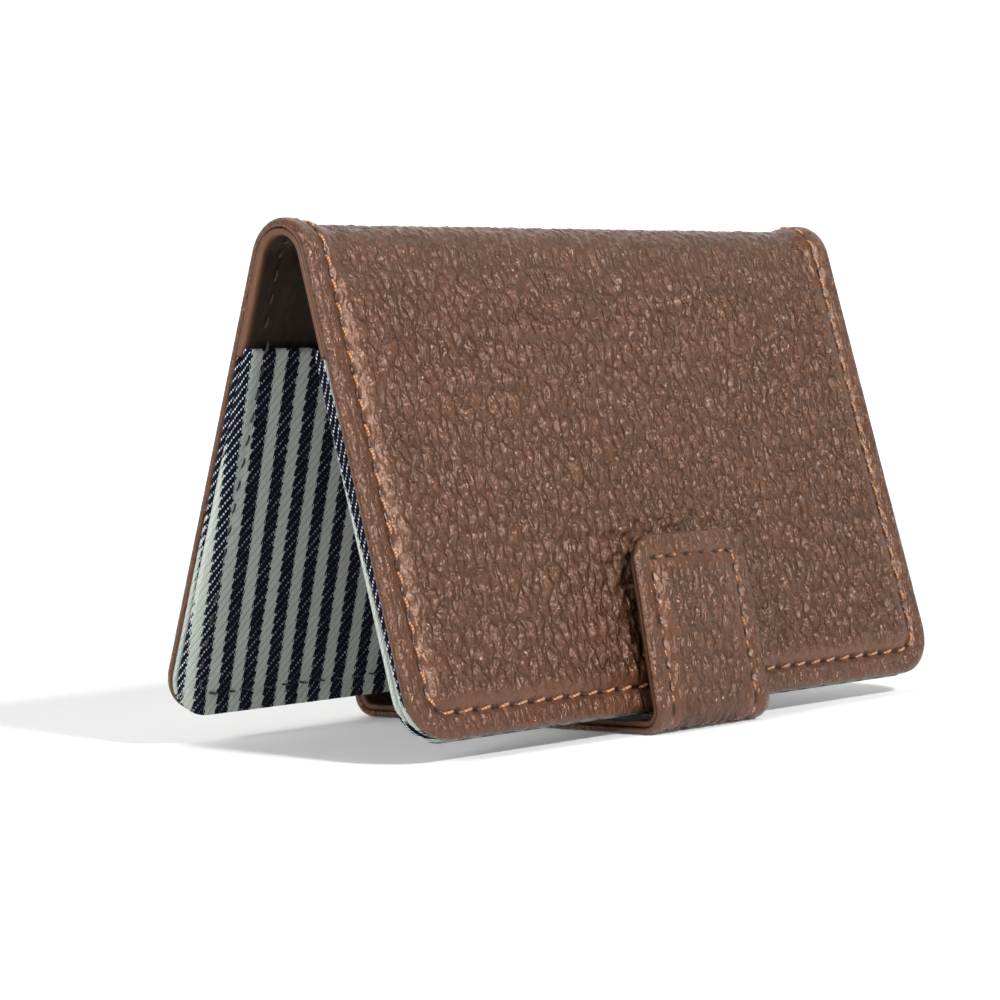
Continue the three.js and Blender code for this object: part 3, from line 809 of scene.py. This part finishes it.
def make_cover():
    rim = rim_insets(STITCH_INSET, COVER_RIM)
    length = cover_route.length
    rows = np.concatenate([
        rim,
        steps(rim[-1], FOLD_START, FRONT_ROW_STEP)[1:],
        steps(FOLD_START, FOLD_END, FOLD_ROW_STEP)[1:],
        steps(FOLD_END, length - rim[-1], BACK_ROW_STEP)[1:-1],
        length - rim[::-1],
    ])
    coarse = ([0, STITCH_INSET, STITCH_INSET + BODY_RUN], 3)
    body_count = round((COVER_WIDTH - 2 * rim[-1]) / COVER_COLUMN_STEP)
    points, faces, flat = shell(
        cover_route, cover_outline, rows, (rim, body_count), coarse, cover_face, cover_underside
    )
    cover = make_object("leather_cover", points, faces, cover_leather, place_uvs(flat, cover_seam))
    distance = cover_outline.distance(flat[:, 0], flat[:, 1])
    fine_count = len(flat) - len(rows) * (2 * len(coarse[0]) + coarse[1] - 1)
    on_hem = 0.2 * ease(distance / 1.4)
    on_body = mix(0.3, 1, ease((distance - 3.9) / 2.6))
    share = np.where(distance < STITCH_INSET, on_hem, on_body)
    share *= 1 - 0.65 * fold_share(flat[:, 1]) ** 2
    share[fine_count:] = 0
    relief = relief_group(COVER_GRAIN, COVER_SWELL, COVER_GRAIN_LEVEL)
    press_grain(cover, flat, lift_directions(cover_route, flat, share), relief)
    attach(cover, "root")
    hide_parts("outer_cover")


# Lining of the fold
LINING_DROP = MOUTH_DROP + MOUTH_LAP
lining_outline = Outline(COVER_WIDTH, FOLD_START - LINING_DROP, FOLD_END + LINING_DROP)


def lining_back(x, u):
    share = body_share(COVER_WIDTH / 2 - np.abs(x))
    sunk = FOLD_SINK + COVER_LEATHER + LAYER_GAP - BACKING_DEPTH
    return -BACKING_DEPTH - sunk * share * fold_share(u)


def lining_face(x, u):
    inset = COVER_WIDTH / 2 - np.abs(x)
    depth = mix(LINING_HEM, LINING_LEATHER, body_share(inset))
    edge = hem_height(inset, 0.5, 0.6, STITCH_INSET, 0.12, 0.7)
    return lining_back(x, u) - depth - edge


def make_lining():
    rim = rim_insets(STITCH_INSET, COVER_RIM)
    rows = np.concatenate([
        lining_outline.start + np.array([0, 0.3]),
        steps(lining_outline.start + 0.6, FOLD_START, 0.5),
        steps(FOLD_START, FOLD_END, 0.33)[1:],
        steps(FOLD_END, lining_outline.end - 0.6, 0.5)[1:],
        lining_outline.end - np.array([0.3, 0]),
    ])
    coarse = ([0, STITCH_INSET, STITCH_INSET + BODY_RUN], 3)
    points, faces, flat = shell(
        cover_route, lining_outline, rows, (rim, 180), coarse, lining_face, lining_back, facing=-1
    )
    lining = make_object("fold_lining_leather", points, faces, lining_leather, place_uvs(flat, cover_seam))
    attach(lining, "root")
    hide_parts("fold_lining")


# Striped pockets
def cloth_shell(outline, depth, ply, ends):
    """A cloth sheet with round turned edges: both faces meet on the outline, and near it the
    half thickness is that of a circle. Its UV maps go round the edge without a break."""
    radius = ply / 2
    angles = np.linspace(0, math.pi / 2, 6)
    turn = radius * (1 - np.cos(angles))
    rim = np.concatenate([turn, [0.9, 1.5, 2.2, 2.7, 3.0, 3.3, 3.6, 4.1, 5.0]])
    rows = np.unique(np.concatenate([
        outline.start + rim,
        steps(outline.start + 5, outline.end - 5, 0.9),
        outline.end - rim,
        *[edge + sign * radius_end * (1 - np.cos(np.linspace(0, math.pi / 2, 14)))
          for edge, sign, radius_end in ends],
    ]).round(6))
    half = outline.half_width(rows)[:, None]
    left = rim[None, :] - half
    body = np.linspace(left[:, -1], -left[:, -1], 100, axis=1)[:, 1:-1]
    x = np.concatenate([left, body, -left[:, ::-1]], 1)
    u = np.broadcast_to(rows[:, None], x.shape)
    distance = outline.distance(x, u)
    near = np.clip(radius - distance, 0, radius)
    thick = np.sqrt(radius**2 - near**2)
    arc = np.where(distance < radius, radius * (np.arccos(np.clip(near / radius, 0, 1)) - math.pi / 2), 0)
    middle = -depth - radius
    return x, u, middle, thick, distance, arc


def pocket_outline(flap, mouth):
    if flap == "front":
        return Outline(COVER_WIDTH, 0, FRONT_LEG - mouth, CORNER_RADIUS, 0)
    return Outline(COVER_WIDTH, FOLD_END + mouth, cover_route.length, 0, CORNER_RADIUS)


def make_pocket(flap, layer, mouth, depth, slant, phase):
    """slant is how far the stripes lean across per unit along, phase where a pale stripe's
    middle crosses the flap's bottom edge. On the back flap the edge of the cloth keeps the
    colour that its face has there."""
    outline = pocket_outline(flap, mouth)
    ends = [(outline.start, 1, CORNER_RADIUS)] if flap == "front" else [(outline.end, -1, CORNER_RADIUS)]
    x, u, middle, thick, distance, arc = cloth_shell(outline, depth, CLOTH_HEM, ends)
    stitches, inside = cover_seam.place(x, u)
    dip = 0.16 * np.exp(-((inside / 0.5) ** 2)) if layer == "face" else 0
    pucker = 0.05 * np.cos(2 * np.pi * stitches) * np.exp(-((inside / 1.6) ** 2)) if layer == "face" else 0
    swell = 0.05 * np.sin(x / 7.3 + 1.1) * np.sin(u / 6.1) * ease(distance / 3)
    seen = middle - thick + dip + pucker + swell
    hidden = middle + thick
    shape = x.shape
    top = np.arange(x.size).reshape(shape)
    rest = np.arange(1, (shape[0] - 2) * (shape[1] - 2) + 1).reshape(shape[0] - 2, shape[1] - 2)
    under = top.copy()
    under[1:-1, 1:-1] = x.size - 1 + rest
    inner = (slice(1, -1), slice(1, -1))
    flat_x = np.concatenate([x.ravel(), x[inner].ravel()])
    flat_u = np.concatenate([u.ravel(), u[inner].ravel()])
    heights = np.concatenate([seen.ravel(), hidden[inner].ravel()])
    points = lay(cover_route, flat_x, flat_u, heights)
    faces = np.concatenate([grid_faces(top, True), grid_faces(under)]).tolist()
    seen_x = x - arc * np.sign(x)
    hidden_x = np.sign(x) * 2 * (math.pi / 4 * CLOTH_HEM - x[:, :1]) - seen_x
    cloth_x = np.concatenate([seen_x.ravel(), hidden_x[inner].ravel()])
    bottom = 0 if flap == "front" else cover_route.length
    lean = slant * (flat_u - bottom)
    warp = cloth_x - lean
    band = (flat_x if flap == "back" else cloth_x) - lean - phase + STRIPE_PERIOD / 2
    flat = np.stack([cloth_x, flat_u], -1)
    uvs = [*place_uvs(flat), ("stripe", np.stack([band, warp], -1) * UV_SCALE)]
    name = f"{flap}_pocket_{layer}_cloth"
    cloth = make_object(name, points, faces, striped_cloth, uvs)
    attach(cloth, "root")
    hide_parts(f"{flap}_pocket_{layer}")
    size = (2 * outline.side(0) / 1000, (outline.end - outline.start) / 1000)


# Strap
def magnet_share(x, u):
    away = np.hypot(x, u - MAGNET_PLACE) - MAGNET_DIAMETER / 2 - STRAP_PLY_GAP
    return 1 - ease((away - MAGNET_SKIRT / 2) / MAGNET_SKIRT)


def strap_rows(outline, rim):
    return np.concatenate([
        outline.start + rim,
        steps(outline.start + rim[-1], outline.end - rim[-1], STRAP_ROW_STEP)[1:-1],
        outline.end - rim[::-1],
    ])


def make_strap_ply(name, inset, facing, outer, inner, material, node_name):
    outline = strap_outline(inset)
    rim = rim_insets(STRAP_STITCH_INSET - inset, STRAP_RIM)
    rows = strap_rows(outline, rim)
    coarse = ([0, STRAP_STITCH_INSET, STRAP_RIM], 8)
    points, faces, flat = shell(
        strap_route, outline, rows, (rim, 34), coarse,
        lambda x, u: outer(x, u, outline.distance(x, u)),
        lambda x, u: inner(x, u, outline.distance(x, u)),
        facing=facing, drift=strap_shift,
    )
    ply = make_object(name, points, faces, material, place_uvs(flat, strap_seam))
    distance = outline.distance(flat[:, 0], flat[:, 1])
    fine_count = len(flat) - len(rows) * (2 * len(coarse[0]) + coarse[1] - 1)
    on_hem = 0.3 * ease(distance / 1.2)
    on_body = mix(0.25, 0.8, ease((distance - 3) / 2))
    share = np.where(distance < STRAP_STITCH_INSET, on_hem, on_body)
    share[fine_count:] = 0
    relief = relief_group(STRAP_GRAIN, STRAP_SWELL, STRAP_GRAIN_LEVEL)
    press_grain(ply, flat, lift_directions(strap_route, flat, share * facing), relief)
    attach(ply, "root")
    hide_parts(node_name)


def strap_face_height(x, u, distance):
    padded = ease((u - FRONT_BEND_END) / 1.0) * ease((distance - STRAP_STITCH_INSET) / 2)
    bulge = MAGNET_FRONT_BULGE * magnet_share(x, u)
    stitches, inside = strap_seam.place(x, u)
    hem = hem_height(distance, 0.6, 1.0, STRAP_STITCH_INSET, 0.15, 0.6)
    from_bump = np.hypot(x - STRAP_BUMP[0], u - STRAP_BUMP[1])
    bump = STRAP_BUMP_HEIGHT * np.exp(-((from_bump / STRAP_BUMP_SPREAD) ** 2))
    pits = needle_pits(stitches, inside, 0.25)
    return STRAP_HALF + hem + np.maximum(STRAP_PUFF * padded, bulge) + bump - pits


def strap_backing_height(x, u, distance):
    edge = hem_height(distance, 0.35, 0.6, STRAP_STITCH_INSET, 0.12, 0.6)
    return -STRAP_HALF - edge - MAGNET_BACK_BULGE * magnet_share(x, u)


def make_strap():
    half_gap = STRAP_PLY_GAP / 2
    make_strap_ply(
        "strap_outer_leather", 0, 1, strap_face_height,
        lambda x, u, d: half_gap + MAGNET_FRONT_BULGE * magnet_share(x, u),
        cover_leather, "strap_face",
    )
    make_strap_ply(
        "strap_inner_leather", STRAP_BACKING_INSET, -1, strap_backing_height,
        lambda x, u, d: -half_gap - MAGNET_BACK_BULGE * magnet_share(x, u),
        lining_leather, "strap_backing",
    )


# Thread
def sew(name, seam, route, height, radius, material, side=1, keep=None, drift=None):
    """All the stitches of a seam as one mesh of short bowed capsules.

    Along a stitch t goes from -1 to 1. It leans across the seam by t, rises as a half circle,
    and its round section narrows towards the two needle holes."""
    number = np.arange(4 * seam.count)
    x0, u0 = seam.walk(number * seam.pitch)
    if keep is not None:
        number = number[keep(x0, u0)]
    t = np.linspace(-1, 1, 9)
    along = number[:, None] * seam.pitch + t[None, :] * seam.pitch * STITCH_SHARE / 2
    x, u = seam.walk(along, 0.16 * t[None, :])
    if drift is not None:
        x = x + drift(u)
    rise = np.sqrt(np.clip(1 - t**2, 0, 1))[None, :]
    level = height(x, u) + side * mix(-0.3, 0.14, rise)
    centre = lay(route, x, u, level)
    _, out = route.at(u)
    normal = np.stack([np.zeros(u.shape), out[..., 0], out[..., 1]], -1) * side
    tangent = np.gradient(centre, axis=1)
    tangent /= np.linalg.norm(tangent, axis=-1, keepdims=True)
    sideways = np.cross(tangent, normal)
    sideways /= np.linalg.norm(sideways, axis=-1, keepdims=True)
    upright = np.cross(sideways, tangent)
    around = np.linspace(0, 2 * math.pi, 8, endpoint=False)
    section = radius * np.clip(1 - 0.9 * t**6, 0.1, 1)[None, :, None, None]
    ring = (
        centre[:, :, None] + section * np.cos(around)[None, None, :, None] * sideways[:, :, None]
        + section * np.sin(around)[None, None, :, None] * upright[:, :, None]
    )
    count, long, wide, _ = ring.shape
    index = np.arange(count * long * wide).reshape(count, long, wide)
    closed = np.concatenate([index, index[:, :, :1]], 2)
    a, b, c, d = closed[:, :-1, :-1], closed[:, :-1, 1:], closed[:, 1:, 1:], closed[:, 1:, :-1]
    quads = np.stack([a.ravel(), b.ravel(), c.ravel(), d.ravel()], -1)
    caps = np.concatenate([index[:, 0, ::-1], index[:, -1, :]])
    faces = [*quads.tolist(), *caps.tolist()]
    flat = np.stack([
        np.broadcast_to(along[:, :, None], (count, long, wide)).ravel(),
        np.broadcast_to(around[None, None, :] / (4 * math.pi), (count, long, wide)).ravel(),
    ], -1)
    thread = make_object(name, ring.reshape(-1, 3), faces, material, [("flat", flat * UV_SCALE)])
    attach(thread, "root")


def make_threads():
    sew(
        "cover_stitches", cover_seam, cover_route,
        lambda x, u: np.full(np.shape(u), -0.28), THREAD_RADIUS, tan_thread,
    )
    sew(
        "strap_stitches", strap_seam, strap_route,
        lambda x, u: np.full(np.shape(u), STRAP_HALF - 0.42), THREAD_RADIUS, tan_thread,
        drift=strap_shift,
    )
    mouth_front, mouth_back = FOLD_START - MOUTH_DROP, FOLD_END + MOUTH_DROP

    def in_fold(x, u):
        return (u > mouth_front + 1.5) & (u < mouth_back - 1.5)

    sew(
        "lining_stitches", cover_seam, cover_route,
        lambda x, u: np.full(np.shape(u), -BACKING_DEPTH - LINING_HEM + 0.1),
        INNER_THREAD_RADIUS, dark_thread, side=-1, keep=in_fold,
    )
    sew(
        "pocket_stitches", cover_seam, cover_route,
        lambda x, u: np.full(np.shape(u), -POCKET_DEPTH - CLOTH_HEM + 0.14),
        INNER_THREAD_RADIUS, dark_thread, side=-1,
        keep=lambda x, u: ~in_fold(x, u),
    )


# Sticky pad
def make_pad():
    """A slab with round corners and softly rounded edges, laid on the back flap's face."""
    low = cover_route.length - STRAP_ROOT - PAD_ABOVE_STRAP - PAD_HEIGHT
    outline = Outline(PAD_WIDTH, low, low + PAD_HEIGHT, PAD_CORNER, PAD_CORNER)
    rim = np.array([0, 0.05, 0.12, 0.22, 0.35, 0.6, 1.2, 2.0, 3.0, 4.0])
    high = low + PAD_HEIGHT
    rows = np.concatenate([low + rim, steps(low + 4, high - 4, 1.0)[1:-1], high - rim[::-1]])
    base = BODY_PUFF + LAYER_GAP

    def face(x, u):
        distance = outline.distance(x, u)
        return base + PAD_THICKNESS + hem_height(distance, 0.35, 0.35, 0, 0, 1)

    points, faces, flat = shell(
        cover_route, outline, rows, (rim, 70), ([0, 4.0], 2), face, lambda x, u: np.full(x.shape, base)
    )
    pad = make_object("foam_pad", points, faces, foam, place_uvs(flat))
    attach(pad, "root")
    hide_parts("adhesive_pad")


make_cover()
make_lining()
for flap in ("front", "back"):
    backing, face = STRIPES[flap]
    make_pocket(flap, "back", LINING_DROP + SEAM_GAP, BACKING_DEPTH, *backing)
    make_pocket(flap, "face", MOUTH_DROP, POCKET_DEPTH, *face)
make_strap()
make_threads()
make_pad()

# The hidden boards, keeper and magnet stay as they are, with their own finishes
for name, finish in (
    ("front_board", board), ("back_board", board), ("keeper_plate", metal), ("strap_magnet", metal),
):
    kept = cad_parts[name]
    kept.data.materials.clear()
    kept.data.materials.append(finish)


# Camera, floor and light
CAMERA_AZIMUTH = math.radians(-43.708)
CAMERA_ELEVATION = math.radians(1.747)
CAMERA_ROLL = math.radians(-2.483)
CAMERA_DISTANCE = 384.088
CAMERA_TARGET = np.array([-4.569, 8.743, 24.125 + bottom_height(BACK_LEAN, BACK_GAP)])
FOCAL_PIXELS = 2936.287
PHOTO_SIZE = 1000
SENSOR = 36.0
# The floor and lights are in metres
FLOOR_FRONT = -3.0
FLOOR_BACK = 1.5


def make_camera():
    """The camera of the photograph: its back direction from azimuth and elevation, rolled."""
    flat = math.cos(CAMERA_ELEVATION)
    back = np.array([
        math.sin(CAMERA_AZIMUTH) * flat, -math.cos(CAMERA_AZIMUTH) * flat, math.sin(CAMERA_ELEVATION),
    ])
    right = np.cross(-back, [0, 0, 1])
    right /= np.linalg.norm(right)
    up = np.cross(back, right)
    cosine, sine = math.cos(CAMERA_ROLL), math.sin(CAMERA_ROLL)
    right, up = cosine * right + sine * up, cosine * up - sine * right
    place = to_frame(CAMERA_TARGET + back * CAMERA_DISTANCE)
    data = bpy.data.cameras.new("camera")
    data.sensor_width = SENSOR
    data.lens = FOCAL_PIXELS / PHOTO_SIZE * SENSOR
    data.clip_start = 0.01
    data.clip_end = 50
    camera = bpy.data.objects.new("camera", data)
    turned = np.eye(4)
    turned[:3, :3] = np.stack([right, up, back], 1)
    turned[:3, 3] = place
    camera.matrix_world = Matrix(turned.tolist())
    bpy.context.scene.collection.objects.link(camera)
    bpy.context.scene.camera = camera


def make_floor():
    """A pale floor that rises far behind into a backdrop."""
    made = new_material("pale_floor")
    tree = made.node_tree
    place = node(tree, "ShaderNodeTexCoord").outputs["Object"]
    away = node(tree, "ShaderNodeVectorMath", {0: place}, operation="LENGTH")
    glow = ramp(tree, away.outputs["Value"], 0.1, 1.2, 0.1, 0.75)
    surface(
        tree, Base_Color=(0.92, 0.92, 0.92, 1), Roughness=0.9,
        Emission_Color=(1, 1, 1, 1), Emission_Strength=glow,
    )
    angle = np.linspace(0, math.pi / 2, 24)
    bend = np.stack([FLOOR_BACK + np.sin(angle), 1 - np.cos(angle)], -1)[1:]
    profile = np.concatenate([[[FLOOR_FRONT, 0], [FLOOR_BACK, 0]], bend, [[FLOOR_BACK + 1, 4.0]]])
    width = np.array([-6.0, 6.0])
    turn = CAMERA_AZIMUTH
    heading = np.array([-math.sin(turn), math.cos(turn)])
    side = np.array([heading[1], -heading[0]])
    ground = profile[:, None, 0, None] * heading + width[None, :, None] * side
    level = np.broadcast_to(profile[:, 1, None], ground.shape[:2])
    points = np.concatenate([ground, level[..., None]], -1).reshape(-1, 3) * 1000 - [0, FOLD_Y, 0]
    index = np.arange(len(points)).reshape(ground.shape[:2])
    floor = make_object("floor", points, grid_faces(index, True).tolist(), made)


def add_light(name, place, size, power):
    data = bpy.data.lights.new(name, "AREA")
    data.shape = "DISK"
    data.size = size
    data.energy = power
    light = bpy.data.objects.new(name, data)
    light.location = place
    aim = Vector((0, 0, 0.03)) - Vector(place)
    light.rotation_euler = aim.to_track_quat("-Z", "Y").to_euler()
    bpy.context.scene.collection.objects.link(light)


make_camera()
make_floor()
add_light("key", (-0.1, -0.72, 0.5), 0.1, 7.2)
add_light("side", (-0.8, -0.1, 0.42), 0.34, 4.4)
add_light("top", (0.1, 0.1, 0.9), 0.5, 1.2)
world = bpy.data.worlds.new("studio")
world.use_nodes = True
world.node_tree.nodes["Background"].inputs[0].default_value = (1, 1, 1, 1)
world.node_tree.nodes["Background"].inputs[1].default_value = 0.18
bpy.context.scene.world = world
bpy.context.scene.view_settings.view_transform = "Standard"
